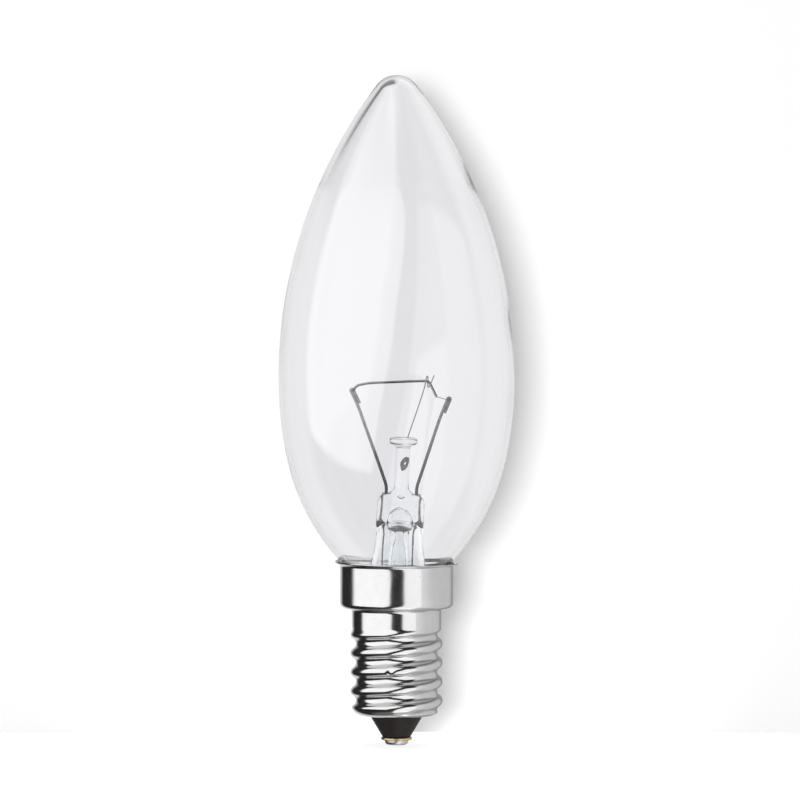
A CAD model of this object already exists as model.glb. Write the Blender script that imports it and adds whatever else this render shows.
import math
import bmesh
import bpy
import numpy as np
from mathutils import Matrix, Vector, noise


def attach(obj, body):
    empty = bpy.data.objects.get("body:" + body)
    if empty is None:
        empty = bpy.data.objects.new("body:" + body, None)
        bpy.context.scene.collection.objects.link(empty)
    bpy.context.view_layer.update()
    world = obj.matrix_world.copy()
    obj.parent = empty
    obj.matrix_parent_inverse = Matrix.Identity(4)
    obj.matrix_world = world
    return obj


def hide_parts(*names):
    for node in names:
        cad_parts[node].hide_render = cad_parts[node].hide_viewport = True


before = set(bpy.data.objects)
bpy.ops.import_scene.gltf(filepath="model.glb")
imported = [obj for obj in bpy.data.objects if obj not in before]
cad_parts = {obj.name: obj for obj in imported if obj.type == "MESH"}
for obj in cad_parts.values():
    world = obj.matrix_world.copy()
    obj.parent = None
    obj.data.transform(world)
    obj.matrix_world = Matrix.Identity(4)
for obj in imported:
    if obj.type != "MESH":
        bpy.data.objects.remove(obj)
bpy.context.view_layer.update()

# Glass mount: a flare tube pressed flat round the wires, with the exhaust tube below and a rod with
# a button above. Clear lead glass, melted into one piece on the stem machine and sealed into the
# bulb's neck; it leans a little to the right. Sizes are millimetres along its own axis.
mm = 0.001
mount_foot = 21.9
mount_lean = math.radians(2.6)
mount = Matrix.Translation((0, 0, mount_foot)) @ Matrix.Rotation(mount_lean, 4, "Y")
upright = Matrix()
weld_distance = 1e-9


def skinned(name, grids, place=upright, crease=None):
    """Piece with a smooth skin over grids of points: rows of closed rings, one after the other."""
    points = []
    faces = []
    for grid in grids:
        first = sum(len(part) for part in points)
        rows, columns = grid.shape[:2]
        points.append(grid.reshape(-1, 3))
        for row in range(rows - 1):
            here = first + row * columns
            for column in range(columns):
                after = (column + 1) % columns
                faces.append((here + column, here + after, here + columns + after, here + columns + column))
    turn = np.array(place.to_3x3())
    placed = np.concatenate(points) @ turn.T + np.array(place.translation)
    mesh = bpy.data.meshes.new(name)
    mesh.from_pydata((placed * mm).tolist(), [], faces)
    joined = bmesh.new()
    joined.from_mesh(mesh)
    bmesh.ops.remove_doubles(joined, verts=joined.verts, dist=weld_distance)
    joined.to_mesh(mesh)
    joined.free()
    mesh.shade_smooth()
    if crease:
        mesh.set_sharp_from_angle(angle=math.radians(crease))
    piece = bpy.data.objects.new(name, mesh)
    bpy.context.scene.collection.objects.link(piece)
    return piece


def melted_line(stations, step, passes):
    """Stations joined by straight runs, cut into even steps, with the corners rounded as by melting."""
    stations = np.array(stations, float)
    runs = np.linalg.norm(np.diff(stations[:, :2], axis=0), axis=1)
    along = np.concatenate(([0], np.cumsum(runs)))
    even = np.linspace(0, along[-1], round(along[-1] / step) + 1)
    line = np.stack([np.interp(even, along, values) for values in stations.T], axis=1)
    for _ in range(passes):
        line[1:-1] = line[1:-1] / 2 + (line[:-2] + line[2:]) / 4
    return line


def oval_rings(line, columns):
    """Rings round the axis for a line of height, half width, half depth and squareness."""
    turn = np.linspace(0, math.tau, columns, endpoint=False)
    height, wide, deep, square = [values[:, None] for values in line.T]
    across = wide * np.sign(np.cos(turn)) * np.abs(np.cos(turn)) ** (2 / square)
    ahead = deep * np.sign(np.sin(turn)) * np.abs(np.sin(turn)) ** (2 / square)
    return np.stack([across, ahead, height + 0 * across], axis=2)


exhaust_walls = [(-10.2, 0), (-10.2, 0.4), (-7.8, 1.5), (9.3, 1.5)]
pressed_hollow = [
    (10.0, 1.75, 1.3, 2), (10.6, 2.05, 1.2, 2.1), (10.95, 2.3, 1.2, 2.2), (11.05, 2.45, 1.25, 2.3),
    (10.95, 2.62, 1.33, 2.3), (10.5, 2.75, 1.6, 2.3), (10.0, 2.73, 2.1, 2.2), (9.6, 2.7, 2.42, 2.1),
]
flare_bore = [(9.3, 2.66), (8, 2.73), (6, 3.08), (4, 3.73), (2, 4.73), (0.9, 5.47)]
flare_rim = [(0.4, 5.9), (0.3, 6.35), (0.4, 6.7), (0.7, 6.75)]
flare_walls = [(2, 5.67), (4, 4.6), (6, 3.9), (8, 3.53), (9.3, 3.45)]
press = [
    (9.8, 3.48, 3.05, 2.1), (10.4, 3.5, 2.4, 2.4), (11.0, 3.52, 1.85, 2.9), (11.6, 3.55, 1.65, 3.4),
    (14.2, 3.52, 1.3, 4), (15.0, 3.2, 1.25, 3.4), (15.3, 2.6, 1.25, 2.8), (15.5, 1.85, 1.25, 2.3),
    (16.1, 1.15, 1.12, 2),
]
rod_radius = 1.1
rod_and_button = [
    (17, rod_radius), (22.3, rod_radius), (22.5, 1.25), (22.65, 1.7), (22.85, 2.0), (23.15, 2.13),
    (23.4, 2.15), (23.65, 2.05), (23.82, 1.8), (23.9, 1.3), (23.9, 0),
]


def rounds(line):
    """Stations of round stretches, from heights and radii."""
    return [(height, radius, radius, 2) for height, radius in line]


below_press = rounds(exhaust_walls) + pressed_hollow + rounds(flare_bore + flare_rim + flare_walls)
mount_line = below_press + press + rounds(rod_and_button)
mount_skin = oval_rings(melted_line(mount_line, step=0.1, passes=5), columns=96)
blown_bore = [
    (13.45, 0, 0, 2), (13.35, 0.55, 0.35, 2), (13.0, 1.2, 0.65, 2), (12.4, 1.7, 0.85, 2),
    (11.6, 1.93, 0.95, 2), (10.7, 1.87, 0.98, 2), (10.3, 1.72, 0.95, 2), (9.55, 0.75, 0.2, 2),
    (9.4, 0.45, 0.15, 2), (8.9, 0.45, 0.4, 2), (7.6, 0.8, 0.8, 2), (5.5, 1.05, 1.05, 2),
    (-7.6, 1.05, 1.05, 2), (-9.5, 0.3, 0.3, 2), (-9.6, 0, 0, 2),
]
air_bubble = [
    (15.25, 0, 0, 2), (15.2, 0.4, 0.15, 2), (15.0, 0.6, 0.25, 2), (14.75, 0.35, 0.2, 2), (14.65, 0, 0, 2),
]
mount_bore = oval_rings(melted_line(blown_bore, step=0.12, passes=4), columns=64)
mount_bubble = oval_rings(melted_line(air_bubble, step=0.06, passes=2), columns=32)

hole_height = 11.8
hole_radius = 1.5
hole_sink = 0.22
melt_depth = 0.05
melt_scale = 0.9
press_start = 9.0
press_end = 17.0
press_ease = 2
for point in mount_skin.reshape(-1, 3):
    across, ahead, height = point
    from_foot = min(max((height - press_start) / press_ease, 0), 1)
    from_head = min(max((press_end - height) / press_ease, 0), 1)
    in_press = from_foot * from_head
    ripple = noise.noise(Vector(point) * melt_scale) * melt_depth * in_press
    point[0] += ripple * np.sign(across)
    point[1] += ripple * np.sign(ahead)
    from_hole = math.hypot(across, height - hole_height) / hole_radius
    if ahead < 0 and from_hole < 1 and in_press > 0:
        point[1] += hole_sink * (1 - from_hole ** 2) ** 2

glass_mount = skinned("glass_mount", [mount_skin, mount_bore, mount_bubble], mount)


class Tone:
    """A socket of a finish: sums on it become Math nodes, and node() adds any other node."""

    def __init__(self, tree, socket=None):
        self.tree = tree
        self.socket = socket

    def feed(self, node, sockets):
        """Sets a node's sockets to values, or links them to tones."""
        for name, value in sockets.items():
            if isinstance(value, Tone):
                self.tree.links.new(value.socket, node.inputs[name])
            else:
                node.inputs[name].default_value = value

    def node(self, kind, settings=None, sockets=None, give=0):
        """Adds a node with its settings and sockets, and gives one of its outputs."""
        made = self.tree.nodes.new(kind)
        for name, value in (settings or {}).items():
            setattr(made, name, value)
        self.feed(made, sockets or {})
        return Tone(self.tree, made.outputs[give])

    def maths(self, operation, first, second=0.0):
        """Math node on two tones or numbers."""
        return self.node("ShaderNodeMath", {"operation": operation}, {0: first, 1: second})

    def blend(self, factor, first, second):
        """Colour between two colours."""
        return self.node("ShaderNodeMix", {"data_type": "RGBA"}, {0: factor, 6: first, 7: second}, 2)

    def between(self, low, high):
        """0 below the low value and 1 above the high one, with a soft step."""
        limits = {"Value": self, "From Min": low, "From Max": high}
        return self.node("ShaderNodeMapRange", {"interpolation_type": "SMOOTHSTEP"}, limits)

    def __add__(self, other):
        return self.maths("ADD", self, other)

    def __radd__(self, other):
        return self.maths("ADD", other, self)

    def __sub__(self, other):
        return self.maths("SUBTRACT", self, other)

    def __rsub__(self, other):
        return self.maths("SUBTRACT", other, self)

    def __mul__(self, other):
        return self.maths("MULTIPLY", self, other)

    def __rmul__(self, other):
        return self.maths("MULTIPLY", other, self)


def new_finish(name):
    """A new material, its surface shader and a tone to work from."""
    finish = bpy.data.materials.new(name)
    finish.use_nodes = True
    return finish, finish.node_tree.nodes["Principled BSDF"], Tone(finish.node_tree)


def place_in_mm(tone, stretch=(1.0, 1.0, 1.0)):
    """Place on the lamp in millimetres, stretched along its axes."""
    place = tone.node("ShaderNodeTexCoord", give="Object")
    scale = tuple(share / mm for share in stretch)
    return tone.node("ShaderNodeVectorMath", {"operation": "MULTIPLY"}, {0: place, 1: scale})


def cloud(tone, place, scale, detail=2.0):
    """Soft noise from 0 to 1, with about so many clouds in a millimetre."""
    return tone.node("ShaderNodeTexNoise", sockets={"Vector": place, "Scale": scale, "Detail": detail})


glass_bending = 1.52


def clear_glass(name, tint, wave_scale, wave_depth, lamp_tint):
    """Clear glass with a faint wave in its face, that lets a share of the lamp's light through."""
    finish, shader, tone = new_finish(name)
    wave = cloud(tone, place_in_mm(tone, (1.0, 1.0, 0.6)), wave_scale)
    face = tone.node("ShaderNodeBump", sockets={"Strength": 1.0, "Distance": wave_depth * mm, "Height": wave})
    tone.feed(shader, {
        "Base Color": tint, "Roughness": 0.0, "IOR": glass_bending,
        "Transmission Weight": 1.0, "Normal": face,
    })
    open_way = tone.node("ShaderNodeBsdfTransparent", sockets={"Color": lamp_tint})
    lamp_ray = tone.node("ShaderNodeLightPath", give="Is Shadow Ray")
    glass = Tone(tone.tree, shader.outputs[0])
    both = tone.node("ShaderNodeMixShader", sockets={0: lamp_ray, 1: glass, 2: open_way})
    tone.feed(tone.tree.nodes["Material Output"], {"Surface": both})
    return finish


def fitted(piece, finish, slot, *nodes):
    """Dresses a piece, stands it in for its CAD nodes and fixes it to the lamp."""
    piece.data.materials.append(finish)
    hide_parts(*nodes)
    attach(piece, "root")


mount_tint = (0.97, 0.985, 0.99, 1.0)
mount_shade = (0.9, 0.9, 0.9, 1.0)
mount_glass = clear_glass("mount_glass", mount_tint, wave_scale=0.5, wave_depth=0.02, lamp_tint=mount_shade)
fitted(glass_mount, mount_glass, "stem_glass", "stem_flare", "exhaust_tube", "arbor_rod")

# Getter dab: a spot of dried grey paste, brushed on the front of the rod with a bare eye in it. It
# takes up the last traces of gas once the bulb is sealed.
dab_center = 20.0
dab_side = 0.4
dab_tilt = 0.55
dab_half_width = 0.75
dab_half_height = 0.95
dab_eye = 0.2
dab_thickness = 0.12
dab_steps = 14
dab_columns = 48
dab_turn = np.linspace(0, math.tau, dab_columns, endpoint=False)
ragged = 1 + 0.08 * np.sin(3 * dab_turn + 1) + 0.05 * np.sin(5 * dab_turn)
dab_rows = []
for step in range(dab_steps + 1):
    share = step / dab_steps
    reach = dab_eye + (1 - dab_eye) * share * ragged
    bulge = dab_thickness * (1 - (2 * share - 1) ** 4)
    across = dab_half_width * reach * np.cos(dab_turn)
    height = dab_center + dab_half_height * reach * np.sin(dab_turn) + dab_tilt * across
    around = (across + dab_side) / rod_radius
    radius = rod_radius + bulge
    dab_rows.append(np.stack([radius * np.sin(around), -radius * np.cos(around), height], axis=1))
getter_spot = skinned("getter_spot", [np.array(dab_rows)], mount)

getter_paste, shader, tone = new_finish("getter_paste")
grain = cloud(tone, place_in_mm(tone), scale=6.0, detail=4.0)
relief = {"Strength": 0.6, "Distance": 0.05 * mm, "Height": grain}
tone.feed(shader, {
    "Base Color": tone.blend(grain, (0.1, 0.1, 0.105, 1.0), (0.26, 0.26, 0.27, 1.0)),
    "Roughness": 0.9,
    "Normal": tone.node("ShaderNodeBump", sockets=relief),
})
fitted(getter_spot, getter_paste, "getter", "getter_dab")

# Seal wires: copper-clad wire melted into the press, one each side, the only metal that grips the
# glass as it cools. A weld knot joins each to a lead above and to an outer lead below.
bend_share = 0.45
bend_steps = 9


def bent_line(points, bend, step):
    """Straight runs between points, with round bends, cut into short steps."""
    points = [np.array(point, float) for point in points]
    line = [points[0]]
    for before, corner, after in zip(points, points[1:], points[2:]):
        run_in = corner - before
        run_out = after - corner
        shorter = min(np.linalg.norm(run_in), np.linalg.norm(run_out))
        reach = min(bend, bend_share * shorter)
        start = corner - run_in / np.linalg.norm(run_in) * reach
        end = corner + run_out / np.linalg.norm(run_out) * reach
        for share in np.linspace(0, 1, bend_steps):
            line.append(start * (1 - share) ** 2 + corner * 2 * share * (1 - share) + end * share ** 2)
    line.append(points[-1])
    return evened(np.array(line), step)


def evened(line, step):
    """The same line in even steps."""
    runs = np.linalg.norm(np.diff(line, axis=0), axis=1)
    along = np.concatenate(([0], np.cumsum(runs)))
    even = np.linspace(0, along[-1], max(2, round(along[-1] / step) + 1))
    return np.stack([np.interp(even, along, values) for values in line.T], axis=1)


def sides_of(line):
    """Two directions square to a line at each of its points, that turn with it as little as they can."""
    ahead = np.gradient(line, axis=0)
    ahead /= np.linalg.norm(ahead, axis=1)[:, None]
    side = np.cross(ahead[0], (0, 1, 0))
    if np.linalg.norm(side) < 0.1:
        side = np.cross(ahead[0], (1, 0, 0))
    sides = []
    for direction in ahead:
        side = side - direction * np.dot(side, direction)
        side = side / np.linalg.norm(side)
        sides.append(side)
    sides = np.array(sides)
    return sides, np.cross(ahead, sides)


def wire_grid(line, half_width, half_depth, columns):
    """Rings of a drawn wire along a line, closed at both ends."""
    side, other = sides_of(line)
    turn = np.linspace(0, math.tau, columns, endpoint=False)[None, :, None]
    wide = np.broadcast_to(half_width, len(line))[:, None, None]
    deep = np.broadcast_to(half_depth, len(line))[:, None, None]
    rings = line[:, None] + wide * np.cos(turn) * side[:, None] + deep * np.sin(turn) * other[:, None]
    start = np.repeat(line[:1, None], columns, axis=1)
    end = np.repeat(line[-1:, None], columns, axis=1)
    return np.concatenate([start, rings, end])


wire_crease = 60


def wire(name, points, radius, bend, step, place=upright, columns=14):
    """Piece of bent round wire."""
    line = bent_line(points, bend, step)
    return skinned(name, [wire_grid(line, radius, radius, columns)], place, wire_crease)


def drawn_metal(name, pale, dark, roughness, streak, bare=1.0, scorch=None):
    """Drawn wire, bare or with a share of dull skin; scorched dark below the first of two heights."""
    finish, shader, tone = new_finish(name)
    dulling = cloud(tone, place_in_mm(tone), streak, detail=3.0)
    color = tone.blend(dulling, dark, pale)
    if scorch:
        height = tone.node("ShaderNodeSeparateXYZ", sockets={0: place_in_mm(tone)}, give=2)
        color = tone.blend(height.between(*scorch), dark, color)
    relief = {"Strength": 0.3, "Distance": 0.01 * mm, "Height": dulling}
    tone.feed(shader, {
        "Base Color": color,
        "Metallic": bare,
        "Roughness": roughness + 0.25 * dulling,
        "Normal": tone.node("ShaderNodeBump", sockets=relief),
    })
    return finish


seal_wire_radius = 0.13
weld_height = 15.25
knots = [(weld_height, 0.12, 0.3), (10.95, 0.4, 0.42)]
seal_top = 15.5
seal_knee = 11.4
tail_start = 9.5
seal_end = 7.9
seal_side = 2.68
tails = {"seal_wire_left": -2.4, "seal_wire_right": 2.075}
clad_pale = (0.78, 0.76, 0.74, 1.0)
clad_dark = (0.14, 0.13, 0.13, 1.0)
clad_scorch = (33.0, 33.8)
copper_clad = drawn_metal(
    "copper_clad", clad_pale, clad_dark, roughness=0.35, streak=2.5, bare=0.3, scorch=clad_scorch,
)
for name, tail in tails.items():
    sealed_side = math.copysign(seal_side, tail)
    sealed_run = [(sealed_side, 0, seal_top), (sealed_side, 0, seal_knee)]
    line = bent_line(sealed_run + [(tail, 0, tail_start), (tail, 0, seal_end)], bend=0.6, step=0.1)
    swells = [swell * np.exp(-((line[:, 2] - at) / half) ** 2) for at, swell, half in knots]
    radius = seal_wire_radius + sum(swells)
    seal_wire = skinned(name + "_drawn", [wire_grid(line, radius, radius, 14)], mount, wire_crease)
    fitted(seal_wire, copper_clad, "seal_wire", name)

# Inner leads: nickel wire welded to the seal wires, bent outward, and folded back at the top to
# clamp the filament's leg. The fold is squeezed flat in the clamping tool.
lead_radius = 0.235
lead_foot = 2.275
lead_knee = 16.5
lead_bend = 2.4
hook_run = 2.85
fold_gap = 0.4
fold_length = 2.4
squeezed_length = 5.2
squeeze_ease = 0.5
squeeze_flat = 0.95
squeeze_deep = 1.18
lead_scorch = (38, 50)
hooks = {"lead_left": (-1, 8.2, 30.5, 28), "lead_right": (1, 6.4, 30.0, 20)}
lead_pale = (0.55, 0.545, 0.54, 1.0)
lead_dark = (0.14, 0.14, 0.14, 1.0)
nickel_wire = drawn_metal(
    "nickel_wire", lead_pale, lead_dark, roughness=0.3, streak=1.6, bare=0.55, scorch=lead_scorch,
)
for name, (side, reach, height, tilt) in hooks.items():
    hook_lean = math.radians(tilt)
    top = np.array((side * reach, 0, height))
    along = np.array((side * math.sin(hook_lean), 0, math.cos(hook_lean)))
    across = np.array((math.cos(hook_lean), 0, -side * math.sin(hook_lean)))
    fold = top + across * fold_gap
    upright_run = [(side * lead_foot, 0, weld_height), (side * lead_foot, 0, lead_knee)]
    hook = [top - along * hook_run, top, fold, fold - along * fold_length]
    line = bent_line(upright_run + hook, lead_bend, step=0.12)
    to_end = np.linalg.norm(np.diff(line, axis=0), axis=1)[::-1].cumsum()[::-1]
    to_end = np.concatenate((to_end, [0]))
    folded = np.clip((squeezed_length - to_end) / squeeze_ease, 0, 1)
    half_flat = lead_radius * (1 + (squeeze_flat - 1) * folded)
    half_deep = lead_radius * (1 + (squeeze_deep - 1) * folded)
    lead = skinned(name + "_bent", [wire_grid(line, half_flat, half_deep, 16)], mount, wire_crease)
    fitted(lead, nickel_wire, "nickel_wire", name)

# Filament: tungsten wire wound into a fine coil, and that coil wound again, then stretched from
# hook to hook over the support. Its bare legs are pinched in the folds of the leads.
thread_radius = 0.03
fine_radius = 0.045
fine_pitch = 0.066
coil_radius = 0.15
coil_pitch = 0.21
leg_radius = 0.045
coil_left = (-7.8, -0.595, 30.35)
coil_right = (4.56, -1.58, 30.05)
support_top = (2.95, -2.4, 32.35)
coil_points = [
    coil_left, (-7.3, -0.68, 31.2), (-5.5, -0.98, 31.67), support_top, (3.45, -2.15, 32.09),
    (4.45, -1.64, 30.25), coil_right,
]
left_leg = [coil_left, (-7.8, 0.9, 30.35)]
right_leg = [coil_right, (6.51, -0.595, 29.6), (6.51, 0.9, 29.6)]


def wound(line, radius, pitch, steps):
    """A line wound in a helix round another."""
    runs = np.linalg.norm(np.diff(line, axis=0), axis=1)
    turns = runs.sum() / pitch
    fine = evened(line, runs.sum() / (turns * steps))
    side, other = sides_of(fine)
    turn = np.linspace(0, turns * math.tau, len(fine))[:, None]
    return fine + radius * (np.cos(turn) * side + np.sin(turn) * other)


coil_line = bent_line(coil_points, bend=1.0, step=0.1)
coiled = wound(wound(coil_line, coil_radius, coil_pitch, steps=20), fine_radius, fine_pitch, steps=6)
filament_grids = [wire_grid(coiled, thread_radius, thread_radius, 4)]
for leg in (left_leg, right_leg):
    filament_grids.append(wire_grid(bent_line(leg, bend=0.15, step=0.1), leg_radius, leg_radius, 10))
filament = skinned("filament_coil", filament_grids, mount)
tungsten_pale = (0.2, 0.2, 0.21, 1.0)
tungsten_dark = (0.1, 0.1, 0.105, 1.0)
tungsten = drawn_metal("tungsten", tungsten_pale, tungsten_dark, roughness=0.4, streak=3.0)
fitted(filament, tungsten, "tungsten", "filament")

# Support: thin molybdenum wire pushed into the button while the glass is soft, its end curled once
# round the filament so that the coil can't sag.
support_radius = 0.08
support_foot = (0.5, -0.25, 23.5)
curl = [
    (-0.23, -0.46, -0.92), (0.0, -0.46, 0.69), (0.23, 0.46, 0.69), (0.23, 0.46, -0.92),
    (0.46, -0.46, -0.92), (1.15, -0.69, 0.92),
]
support_points = [support_foot] + [np.array(support_top) + offset for offset in curl]
support = wire("support_curl", support_points, support_radius, bend=0.6, step=0.08, place=mount, columns=12)
support_pale = (0.5, 0.49, 0.48, 1.0)
support_dark = (0.25, 0.25, 0.25, 1.0)
support_metal = drawn_metal("support_metal", support_pale, support_dark, roughness=0.3, streak=2.0)
fitted(support, support_metal, "support_wire", "filament_support")

# Bulb: clear lime glass, blown into a candle shape, drawn to a point and sealed to the mount's flare
# at the end of its neck. The wall is a little uneven, and thicker at the point.
glass_wall = 0.7
tip_extra = 0.5
wall_wander = 0.05
wander_scale = 0.12
wander_start = 30
wander_run = 10
neck_radius = 7.5
neck_end = mount_foot
neck_top = 23.4
throat_center = (11.5, 24.8)
throat_bend = 4
throat_turn = 42.37
shoulder_center = (-15.096, 49.062)
shoulder_radius = 32
shoulder_turn = 12.8
belly_radius = 17.5
belly_height = 54.379
lower_flank_radius = 56
upper_flank_radius = 72.165
upper_flank_turn = 37.02
tip_center = (0, 95.6)
tip_radius = 3.7
tip_start = 82
tip_run = 16
tip_narrowing = 3
least_radius = 3
bulb_columns = 192


def arc(center, radius, start, end, steps):
    """Radius and height of points along an arc, with its angles in degrees."""
    angle = np.radians(np.linspace(start, end, steps))
    return np.stack([center[0] + radius * np.cos(angle), center[1] + radius * np.sin(angle)], axis=1)


def bulb_line(inset):
    """Bulb's outline from the end of the neck up to the point, moved in from the outer face."""
    neck = [(neck_radius - inset, neck_end), (neck_radius - inset, neck_top)]
    throat = arc(throat_center, throat_bend + inset, 180, 180 - throat_turn, 14)
    shoulder = arc(shoulder_center, shoulder_radius - inset, -throat_turn, -shoulder_turn, 30)
    lower_center = (belly_radius - lower_flank_radius, belly_height)
    lower_flank = arc(lower_center, lower_flank_radius - inset, -shoulder_turn, 0, 24)
    upper_center = (belly_radius - upper_flank_radius, belly_height)
    upper_flank = arc(upper_center, upper_flank_radius - inset, 0, upper_flank_turn, 64)
    tip = arc(tip_center, tip_radius - inset, upper_flank_turn, 90, 18)
    return np.concatenate([neck, throat, shoulder[1:], lower_flank[1:], upper_flank[1:], tip[1:]])


def turned(line, columns):
    """Rings of a piece turned on the lamp's axis, for a line of radius and height."""
    turn = np.linspace(0, math.tau, columns, endpoint=False)
    radius = np.array(line)[:, 0, None]
    height = np.array(line)[:, 1, None]
    return np.stack([radius * np.cos(turn), radius * np.sin(turn), height + 0 * radius * turn], axis=2)


bulb_outside = turned(bulb_line(0), bulb_columns)
bulb_inside = turned(bulb_line(glass_wall), bulb_columns)
for point in bulb_inside.reshape(-1, 3):
    near_tip = min(max((point[2] - tip_start) / tip_run, 0), 1)
    above_throat = min(max((point[2] - wander_start) / wander_run, 0), 1)
    share = 1 - near_tip * tip_extra / belly_radius * tip_narrowing
    wander = wall_wander * noise.noise(Vector(point) * wander_scale) * above_throat
    radius = max(math.hypot(point[0], point[1]), least_radius)
    point[:2] *= max(share + wander / radius, 0)
    point[2] -= near_tip * near_tip * tip_extra
bulb_inside[-1, :] = bulb_inside[-1].mean(axis=0)
bulb_outside[-1, :] = bulb_outside[-1].mean(axis=0)
neck_edge = np.concatenate([bulb_inside[:1], bulb_outside[:1]])
blown_bulb = skinned("blown_bulb", [bulb_outside, bulb_inside[::-1], neck_edge])
bulb_tint = (0.991, 0.989, 0.998, 1.0)
bulb_shade = (0.62, 0.62, 0.63, 1.0)
bulb_glass = clear_glass("bulb_glass", bulb_tint, wave_scale=0.1, wave_depth=0.01, lamp_tint=bulb_shade)
fitted(blown_bulb, bulb_glass, "bulb_glass", "glass_bulb")

# Screw cap: thin brass sheet, drawn to a cup with a flared rim and a stepped collar, its thread
# rolled in, and nickel-plated. The sheet is a little uneven, with two small nicks.
sheet = 0.25
shell_bottom = 4.4
pitch = 2.822
crest_radius = 6.85
thread_depth = 0.8
thread_arc = ((pitch / 2) ** 2 + thread_depth ** 2) / (4 * thread_depth)
flank_angle = math.asin(pitch / 4 / thread_arc)
first_crest = 2.185
crest_height = shell_bottom + first_crest
thread_full = 16.3
thread_fade = 1.3
neck_of_cap = 6.625
neck_fillet = 0.5
inner_neck_foot = 17.8
bottom_round = 1.9
round_center = crest_radius - bottom_round
mouth_radius = 4.05
shoulder_height = 20.35
collar_radius = 8.4
collar_corner = 0.8
collar_top = 26.65
rim_top = 27.1
rim_flare = 0.75
rim_bend = 0.25
rim_tilt = 0.2
lip_drop = 0.05
sheet_wobble = 0.012
wobble_scale = 0.35
nick_reach = 3
cap_columns = 240
cap_turn = np.linspace(0, math.tau, cap_columns, endpoint=False)


def rolled_radius(height, inset):
    """Radius of the rolled thread all round at a height, moved in by the sheet."""
    along = (height - crest_height) / pitch - cap_turn / math.tau
    from_crest = np.abs(along - np.round(along)) * pitch
    crest_arc = thread_arc - inset
    root_arc = thread_arc + inset
    over_crest = crest_radius - thread_arc + np.sqrt(np.maximum(crest_arc ** 2 - from_crest ** 2, 0))
    in_root = crest_radius - thread_depth + thread_arc
    in_root = in_root - np.sqrt(np.maximum(root_arc ** 2 - (pitch / 2 - from_crest) ** 2, 0))
    radius = np.where(from_crest < crest_arc * math.sin(flank_angle), over_crest, in_root)
    fade = min(max((height - thread_full) / thread_fade, 0), 1)
    fade = fade * fade * (3 - 2 * fade)
    return radius + (neck_of_cap - inset - radius) * fade


def shell_rows(inset, thread_step):
    """Rows of radius and height from the mouth of the shell, round its bottom edge and up its thread."""
    floor = shell_bottom + inset
    rows = [(mouth_radius + 0 * cap_turn, floor), (round_center + 0 * cap_turn, floor)]
    for angle in np.radians(np.linspace(84, 0, 15)):
        height = shell_bottom + bottom_round - (bottom_round - inset) * math.sin(angle)
        limit = round_center + (bottom_round - inset) * math.cos(angle)
        rows.append((np.minimum(limit, rolled_radius(height, inset)), height))
    start = shell_bottom + bottom_round
    end = thread_full + thread_fade
    for height in np.linspace(start, end, round((end - start) / thread_step))[1:]:
        rows.append((rolled_radius(height, inset), height))
    return rows


def collar_rows():
    """Rows from the shell's neck out over the shoulder, up the collar and rim, and down their inner face."""
    rim_lean = math.degrees(math.atan2(rim_flare, rim_top - collar_top))
    fillet = arc((neck_of_cap + neck_fillet, shoulder_height - neck_fillet), neck_fillet, 180, 90, 8)
    corner_center = (collar_radius - collar_corner, shoulder_height + collar_corner)
    corner = arc(corner_center, collar_corner, 270, 360, 12)
    bend_height = collar_top - rim_bend * math.tan(math.radians(rim_lean / 2))
    bend = arc((collar_radius + rim_bend, bend_height), rim_bend, 180, 180 - rim_lean, 8)
    flare = np.array((math.sin(math.radians(rim_lean)), math.cos(math.radians(rim_lean))))
    outward = np.array((flare[1], -flare[0]))
    edge = np.array((collar_radius - sheet / 2 + rim_flare, rim_top - lip_drop))
    half_turn = np.linspace(0, math.pi, 7)
    lip = [edge + sheet / 2 * (outward * math.cos(angle) + flare * math.sin(angle)) for angle in half_turn]
    inner_bend = arc((collar_radius + rim_bend, bend_height), rim_bend + sheet, 180 - rim_lean, 180, 8)
    inner_corner = arc(corner_center, collar_corner - sheet, 360, 270, 8)
    run_start = shoulder_height + 1.2
    run_end = bend_height - 0.4
    run = [(collar_radius, height) for height in np.linspace(run_start, run_end, 8)]
    inner_neck = [(neck_of_cap - sheet, shoulder_height + sheet), (neck_of_cap - sheet, inner_neck_foot)]
    neck_start = thread_full + thread_fade + 0.1
    neck_stop = shoulder_height - 0.6
    neck = [(neck_of_cap, height) for height in np.linspace(neck_start, neck_stop, 12)]
    return np.concatenate([neck, fillet, corner, run, bend, lip, inner_bend, inner_corner, inner_neck])


def cap_ring(radius, height):
    """One ring of the cap."""
    return np.stack([radius * np.cos(cap_turn), radius * np.sin(cap_turn), height + 0 * cap_turn], axis=1)


outer_rows = shell_rows(inset=0, thread_step=0.075)
inner_rows = shell_rows(inset=sheet, thread_step=0.25)[::-1]
turned_rows = [(radius + 0 * cap_turn, height) for radius, height in collar_rows()]
cap_rows = outer_rows + turned_rows + inner_rows + outer_rows[:1]
cap_skin = np.array([cap_ring(radius, height) for radius, height in cap_rows])
nicks = [((-0.95, -6.4, 11.5), 0.46, 0.26), ((2.3, -6.2, 18.3), 0.18, 0.05)]
for point in cap_skin.reshape(-1, 3):
    outward = Vector((point[0], point[1], 0)).normalized()
    move = sheet_wobble * noise.noise(Vector(point) * wobble_scale)
    up_rim = min(max((point[2] - collar_top) / (rim_top - collar_top), 0), 1)
    point[2] -= rim_tilt * point[0] / collar_radius * up_rim
    for spot, size, depth in nicks:
        from_spot = (Vector(point) - Vector(spot)).length / size
        if from_spot < nick_reach:
            move -= depth * math.exp(-from_spot ** 2)
    point += np.array(outward) * move
screw_cap = skinned("screw_cap", [cap_skin], crease=50)

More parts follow.
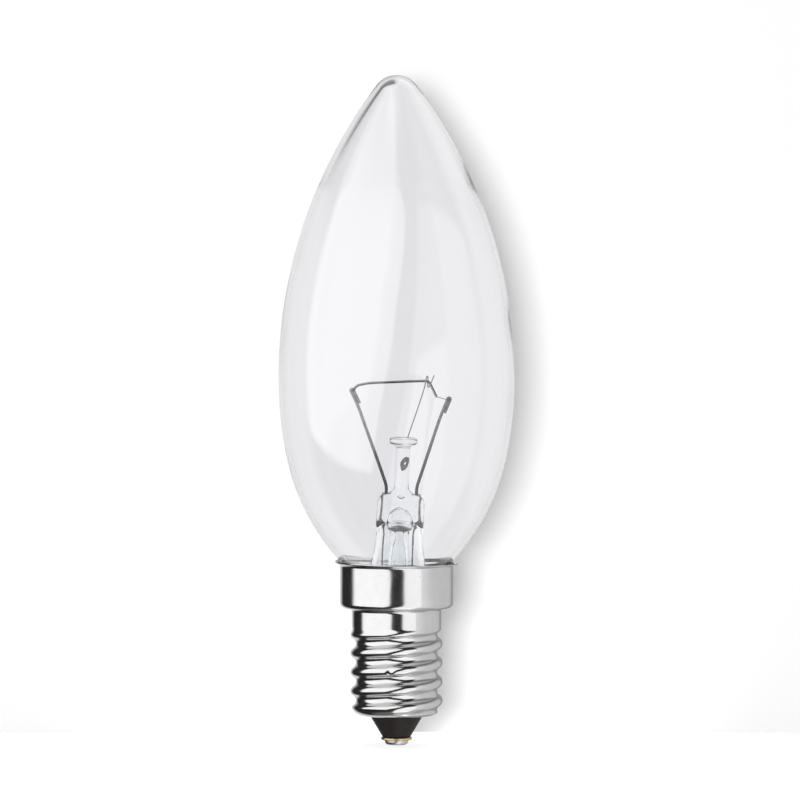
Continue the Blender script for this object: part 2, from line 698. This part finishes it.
nickel_plate, shader, tone = new_finish("nickel_plate")
place = place_in_mm(tone)
dulling = cloud(tone, place, scale=0.45, detail=4.0)
rolled_marks = cloud(tone, place_in_mm(tone, (0.15, 0.15, 6.0)), scale=1.0, detail=3.0)
specks = cloud(tone, place, scale=3.2, detail=2.0).between(0.68, 0.76)
plate_color = tone.blend(dulling, (0.56, 0.56, 0.56, 1.0), (0.67, 0.67, 0.67, 1.0))
fine_marks = rolled_marks * 0.6 + cloud(tone, place, scale=5.0, detail=3.0) * 0.4
relief = {"Strength": 0.25, "Distance": 0.008 * mm, "Height": fine_marks}
tone.feed(shader, {
    "Base Color": tone.blend(specks * 0.35, plate_color, (0.3, 0.29, 0.28, 1.0)),
    "Metallic": 1.0,
    "Roughness": 0.1 + 0.08 * dulling + 0.15 * specks,
    "Normal": tone.node("ShaderNodeBump", sockets=relief),
})
fitted(screw_cap, nickel_plate, "cap_metal", "screw_shell")

# Insulator: black glass poured into the bottom of the cap, where it grips the turned-in edge and
# stands out as a cone round the contact's eyelet.
insulator_line = [
    (0.8, 1.15), (2.0, 1.15), (2.1, 1.25), (3.9, 4.3), (3.95, 4.4), (3.95, 4.65), (4.95, 4.65),
    (5.55, 5.25), (5.55, 7.25), (5.0, 7.2), (0.8, 6.35), (0.8, 1.15),
]
insulator_skin = turned(melted_line(insulator_line, step=0.08, passes=2), columns=128)
insulator_skin[-1] = insulator_skin[0]
insulator = skinned("insulator_cone", [insulator_skin])
black_glass, shader, tone = new_finish("black_glass")
swirl = cloud(tone, place_in_mm(tone), scale=0.8, detail=4.0)
relief = {"Strength": 0.4, "Distance": 0.03 * mm, "Height": swirl}
tone.feed(shader, {
    "Base Color": tone.blend(swirl, (0.007, 0.006, 0.006, 1.0), (0.02, 0.016, 0.016, 1.0)),
    "Roughness": 0.4 + 0.2 * swirl,
    "Specular IOR Level": 0.15,
    "Normal": tone.node("ShaderNodeBump", sockets=relief),
})
fitted(insulator, black_glass, "black_glass", "insulator")

# Centre contact: a brass plate whose eyelet is pressed into the insulator, filled and domed over
# with solder round the end of the contact lead.
plate_bottom = 0.75
eyelet_bore = 0.45
eyelet_top = 2.75
plate_line = [
    (eyelet_bore, plate_bottom), (2.2, plate_bottom), (2.3, 0.85), (2.3, 1.05), (2.2, 1.15), (0.75, 1.15),
    (0.75, eyelet_top), (eyelet_bore, eyelet_top), (eyelet_bore, plate_bottom),
]
plate_skin = turned(plate_line, columns=96)
contact_plate = skinned("contact_disc", [plate_skin], crease=30)
contact_brass, shader, tone = new_finish("contact_brass")
tarnish = cloud(tone, place_in_mm(tone), scale=1.2, detail=4.0)
tone.feed(shader, {
    "Base Color": tone.blend(tarnish, (0.45, 0.33, 0.17, 1.0), (0.78, 0.63, 0.36, 1.0)),
    "Metallic": 1.0,
    "Roughness": 0.22 + 0.25 * tarnish,
})
fitted(contact_plate, contact_brass, "contact_brass", "contact_plate")


def set_solder(name):
    """Solder that has run and set: dull tin-lead with a soft ripple."""
    finish, shader, tone = new_finish(name)
    ripple = cloud(tone, place_in_mm(tone), scale=1.6, detail=3.0)
    relief = {"Strength": 0.5, "Distance": 0.05 * mm, "Height": ripple}
    tone.feed(shader, {
        "Base Color": tone.blend(ripple, (0.42, 0.42, 0.43, 1.0), (0.7, 0.7, 0.7, 1.0)),
        "Metallic": 1.0,
        "Roughness": 0.25 + 0.2 * ripple,
        "Normal": tone.node("ShaderNodeBump", sockets=relief),
    })
    return finish


solder = set_solder("solder")
dome_round = 0.55
dome_edge = arc((1.2, dome_round), dome_round, 270, 350, 8)
dome_top = [(1.75, plate_bottom), (eyelet_bore, plate_bottom), (eyelet_bore, eyelet_top), (0, eyelet_top)]
dome_line = np.concatenate([[(0, 0), (1.1, 0)], dome_edge, dome_top])
solder_dome = skinned("solder_dome", [turned(dome_line, columns=72)], crease=50)
fitted(solder_dome, solder, "solder", "contact_solder")

# Cement: a ring of baked, gritty cement that holds the bulb's neck in the collar, greyer at the right.
# It was pressed in soft, and its top shows between the rim and the glass.
cement_line = [
    (7.5, 22.0), (8.12, 22.0), (8.12, 26.4), (8.42, 26.75), (8.62, 26.95), (8.4, 27.0), (8.2, 26.9),
    (7.96, 26.6), (7.74, 26.1), (7.58, 25.6), (7.5, 24.8), (7.5, 22.0),
]
cement_skin = turned(melted_line(cement_line, step=0.1, passes=1), columns=240)
cement_skin[-1] = cement_skin[0]
cement_ring = skinned("cement_ring", [cement_skin], crease=60)
baked_cement, shader, tone = new_finish("baked_cement")
place = place_in_mm(tone)
grit = cloud(tone, place, scale=4.0, detail=6.0)
pale_grit = tone.blend(grit, (0.58, 0.58, 0.58, 1.0), (0.78, 0.78, 0.78, 1.0))
grey_side = tone.node("ShaderNodeSeparateXYZ", sockets={0: place}).between(3.0, 4.2)
relief = {"Strength": 0.8, "Distance": 0.15 * mm, "Height": grit}
tone.feed(shader, {
    "Base Color": tone.blend(grey_side, pale_grit, 0.02 + grit * 0.56),
    "Roughness": 0.9,
    "Normal": tone.node("ShaderNodeBump", sockets=relief),
})
fitted(cement_ring, baked_cement, "cement", "basing_cement")

# Outer leads: tinned copper wires from the seal wires. One comes out between neck and collar and is
# soldered to the rim at the back; the other runs down to the centre contact.
outer_lead_radius = 0.11
outer_lead_bend = 0.6
tail_foot = 3.95
under_neck = 21.25
in_cement = 7.825
rim_turn = math.radians(100)


def toward_rim(radius, height):
    """A point in the half-plane where the lead reaches the rim."""
    return (radius * math.cos(rim_turn), radius * math.sin(rim_turn), height)


def below_seal(name):
    """The straight run of an outer lead below its seal wire."""
    return [tuple(mount @ Vector((tails[name], 0, height))) for height in (seal_end, tail_foot)]


rim_points = below_seal("seal_wire_left") + [
    toward_rim(3.4, under_neck), toward_rim(in_cement, under_neck), toward_rim(in_cement, 24.8),
    toward_rim(7.99, 26.4), toward_rim(8.68, rim_top),
]
contact_points = below_seal("seal_wire_right") + [(2.675, 0, 14.575), (0, 0, 9.25), (0, 0, eyelet_top)]
tinned_pale = (0.5, 0.48, 0.46, 1.0)
tinned_dark = (0.2, 0.18, 0.17, 1.0)
tinned_copper = drawn_metal("tinned_copper", tinned_pale, tinned_dark, roughness=0.3, streak=1.8)
rim_lead = wire("rim_lead", rim_points, outer_lead_radius, outer_lead_bend, step=0.12)
fitted(rim_lead, tinned_copper, "copper_wire", "outer_lead_left")
contact_lead = wire("contact_lead", contact_points, outer_lead_radius, outer_lead_bend, step=0.12)
fitted(contact_lead, tinned_copper, "copper_wire", "outer_lead_right")

# Rim solder: a small blob of the same solder, run over the edge of the rim at the back. It joins
# the rim lead to the cap.
blob_radius = 0.45
blob_lumps = 0.12
lump_scale = 2.2
blob_place = toward_rim(9.1, 27.25)
blob_skin = turned(arc((0, 0), blob_radius, -90, 90, 15), columns=28)
for point in blob_skin.reshape(-1, 3):
    point *= 1 + blob_lumps * noise.noise(Vector(point) * lump_scale)
blob_skin[0] = blob_skin[0].mean(axis=0)
blob_skin[-1] = blob_skin[-1].mean(axis=0)
rim_blob = skinned("rim_blob", [blob_skin], Matrix.Translation(blob_place))
fitted(rim_blob, solder, "solder", "rim_solder")

# Studio: a pale table with a pale wall close behind the bulb, and one soft lamp in front, a little to
# the left and above. The light boxes and dark gaps of the room only show as reflections.
wall_distance = 19.5
room_size = 2000
wall_own_light = 0.095
table_own_light = 0.6
field_middle = Vector((0, 0, 50)) * mm
field_half = Vector((40, 80, 68)) * mm
field_near = (0.9, 0.896, 0.91, 1.0)
field_far = 0.6
field_drop = 0.4


def panel(name, corners):
    """Flat panel of the studio."""
    mesh = bpy.data.meshes.new(name)
    mesh.from_pydata([tuple(value * mm for value in corner) for corner in corners], [], [(0, 1, 2, 3)])
    board = bpy.data.objects.new(name, mesh)
    bpy.context.scene.collection.objects.link(board)
    board.visible_glossy = False
    return board


def pale_board(name, own_light, see_through_back):
    """Matte white board that keeps shadows. Through glass it is a bright field; reflections don't show it."""
    finish, shader, tone = new_finish(name)
    tone.feed(shader, {
        "Base Color": (0.8, 0.8, 0.8, 1.0), "Roughness": 1.0, "Specular IOR Level": 0.0,
        "Emission Color": (1.0, 1.0, 1.0, 1.0), "Emission Strength": own_light,
    })
    place = tone.node("ShaderNodeNewGeometry", give="Position")
    from_middle = tone.node("ShaderNodeVectorMath", {"operation": "SUBTRACT"}, {0: place, 1: field_middle})
    in_fields = tone.node("ShaderNodeVectorMath", {"operation": "DIVIDE"}, {0: from_middle, 1: field_half})
    from_lamp = tone.node("ShaderNodeVectorMath", {"operation": "LENGTH"}, {0: in_fields}, "Value")
    outside = from_lamp.between(1.0, 1.6)
    off_matte = tone.node("ShaderNodeLightPath", give="Is Diffuse Ray")
    field = tone.blend(outside, field_near, field_far - field_drop * off_matte)
    glow = tone.node("ShaderNodeEmission", sockets={"Color": field, "Strength": 1.0})
    seen = tone.node("ShaderNodeLightPath", give="Is Camera Ray")
    board = Tone(tone.tree, shader.outputs[0])
    surface = tone.node("ShaderNodeMixShader", sockets={0: seen, 1: glow, 2: board})
    unseen = tone.maths("GREATER_THAN", tone.node("ShaderNodeLightPath", give="Glossy Depth"), 0.5)
    if see_through_back:
        unseen = tone.maths("MAXIMUM", unseen, tone.node("ShaderNodeNewGeometry", give="Backfacing"))
    clear = tone.node("ShaderNodeBsdfTransparent")
    surface = tone.node("ShaderNodeMixShader", sockets={0: unseen, 1: surface, 2: clear})
    tone.feed(tone.tree.nodes["Material Output"], {"Surface": surface})
    return finish


table = panel("table", [
    (-room_size, -room_size, 0), (room_size, -room_size, 0),
    (room_size, room_size, 0), (-room_size, room_size, 0),
])
table.data.materials.append(pale_board("table_board", table_own_light, see_through_back=False))
wall = panel("wall", [
    (-room_size, wall_distance, 0), (room_size, wall_distance, 0),
    (room_size, wall_distance, room_size), (-room_size, wall_distance, room_size),
])
wall.data.materials.append(pale_board("wall_board", wall_own_light, see_through_back=True))

lamp_aim = Vector((0, 0, 50)) * mm
lamp_place = Vector((-120, -860, 90)) * mm
lamp = bpy.data.lights.new("key_lamp", "AREA")
lamp.size = 240 * mm
lamp.energy = 7.0
key_lamp = bpy.data.objects.new("key_lamp", lamp)
key_lamp.location = lamp_place
key_lamp.rotation_mode = "QUATERNION"
key_lamp.rotation_quaternion = (lamp_aim - lamp_place).to_track_quat("-Z", "Y")
key_lamp.visible_glossy = False
key_lamp.visible_transmission = False
key_lamp.visible_camera = False
bpy.context.scene.collection.objects.link(key_lamp)

room = bpy.data.worlds.new("room")
room.use_nodes = True
room.cycles.sampling_method = "NONE"
bpy.context.scene.world = room
sky = Tone(room.node_tree)
direction = sky.node("ShaderNodeTexCoord", give="Generated")
axes = [sky.node("ShaderNodeSeparateXYZ", sockets={0: direction}, give=axis) for axis in range(3)]
to_right, to_back, to_top = axes

# Directions in degrees: azimuth from the front round to the right, and elevation upward.
degrees = 180 / math.pi
azimuth = sky.maths("ARCTAN2", to_right, to_back * -1) * degrees
elevation = sky.maths("ARCSINE", to_top) * degrees
box_softness = 2


def light_box(*sides):
    """1 inside all the sides of a light box, each given as degrees inward from it, with soft edges."""
    box = sides[0].between(-box_softness, box_softness)
    for side in sides[1:]:
        box = box * side.between(-box_softness, box_softness)
    return box


# A ray that has gone through four faces of glass or more comes from the bulb's far wall. A sharp
# reflection is one off glass, and a blurred one is off metal.
glass_faces = sky.node("ShaderNodeLightPath", give="Transmission Depth")
far_wall = sky.maths("GREATER_THAN", glass_faces, 3.5)
off_glass = sky.node("ShaderNodeLightPath", give="Is Singular Ray")
left_box_foot = 0.2 * azimuth * (1 - off_glass) - 0.0022 * azimuth * azimuth * off_glass
left_box_edge = 0.62 * elevation - azimuth - 10
left_box = light_box(
    elevation + left_box_foot + 33 + 11 * far_wall,
    left_box_edge,
    45 - 0.8 * elevation - azimuth,
    72 - elevation,
)
left_box = left_box * (azimuth + 99).between(-6, 6) * (1 - 0.55 * elevation.between(30, 70))
left_box = left_box * (1 - 0.25 * off_glass * (1 - left_box_edge.between(2, 22)))
right_box = light_box(
    azimuth - 0.53 * elevation - 17.5 - 9 * far_wall,
    52 + 30 * far_wall - azimuth,
    0.1 * azimuth - elevation + 7 - 4.5 * off_glass,
    elevation + 67,
)
box_light = (1.5 + 0.25 * off_glass) * left_box + (1.4 - 0.7 * off_glass) * right_box
box_light = box_light * (1 - 0.45 * far_wall)

# The room's sides, which fall off toward the back, the floor and the ceiling.
right_fall = (
    0.2 * azimuth.between(55, 85)
    + 0.08 * azimuth.between(85, 135)
    + 0.37 * azimuth.between(135, 155)
)
right_lit = (
    (1 - 0.7 * elevation.between(20, 45))
    * (1 - 0.6 * (-1 * elevation).between(40, 60))
    * (1 - right_fall)
)
right_glass = 0.35 + 0.4 * azimuth.between(140, 165)
right_side = (azimuth - 30 * far_wall).between(49, 55) * (right_lit + (right_glass - right_lit) * off_glass)
left_back = (1 - azimuth.between(-160, -140)) * 0.8 * (1 - elevation.between(5, 25))
floor_light = 0.15 + 0.6 * azimuth.between(-30, 35) - 0.4 * azimuth.between(50, 75)
below = floor_light * (1 - elevation.between(-65, -50))
above = 0.5 * elevation.between(60, 75) * (1 - azimuth.between(10, 60))
rim_glow = 1.3 * far_wall * (1 - off_glass) * to_right.between(-0.03, 0.06) * elevation.between(28, 40)

# The edges of the glass reflect the wall behind: darker at the upper left, paler at the upper right.
upper_left = elevation.between(17, 30) * (-1 * to_right).between(0, 0.12)
upper_right = elevation.between(17, 30) * to_right.between(0, 0.12)
wall_behind = off_glass * to_back.between(0.05, 0.35)
wall_light = 0.64 + 0.15 * to_back.between(0.6, 0.9) - 0.48 * upper_left + 0.2 * upper_right
sides = (right_side + left_back + below + above + rim_glow) * (1 - wall_behind) + wall_behind * wall_light
in_thick_glass = sky.maths("GREATER_THAN", glass_faces, 5.5)
reflections = 0.03 + 0.3 * in_thick_glass * elevation.between(-50, -20) + box_light + sides

# Only reflections show the room. All other rays see plain white, which is dimmer for matte faces.
bounced = sky.maths("GREATER_THAN", sky.node("ShaderNodeLightPath", give="Glossy Depth"), 0.5)
matte_ray = sky.node("ShaderNodeLightPath", give="Is Diffuse Ray")
straight = 1 - 0.55 * matte_ray
level = bounced * reflections + (1 - bounced) * straight
sky.feed(room.node_tree.nodes["Background"], {"Color": (1.0, 1.0, 1.0, 1.0), "Strength": level})

# Camera: in front of the lamp, a little above the middle of the bulb and looking slightly down. It is
# far enough off that the sides look nearly parallel.
camera_place = Vector((0.52, -700, 70)) * mm
camera_aim = Vector((0.52, 0, 51.2)) * mm
view_width = 118.6
sensor_width = 36
lens = bpy.data.cameras.new("camera")
lens.sensor_width = sensor_width
lens.lens = sensor_width * (camera_aim - camera_place).length / (view_width * mm)
lens.clip_start = 0.01
camera = bpy.data.objects.new("camera", lens)
camera.location = camera_place
camera.rotation_mode = "QUATERNION"
camera.rotation_quaternion = (camera_aim - camera_place).to_track_quat("-Z", "Y")
bpy.context.scene.collection.objects.link(camera)
bpy.context.scene.camera = camera
bpy.context.scene.view_settings.view_transform = "Standard"
glass_bounces = 32
bpy.context.scene.cycles.max_bounces = glass_bounces
bpy.context.scene.cycles.transmission_bounces = glass_bounces
bpy.context.scene.cycles.transparent_max_bounces = glass_bounces
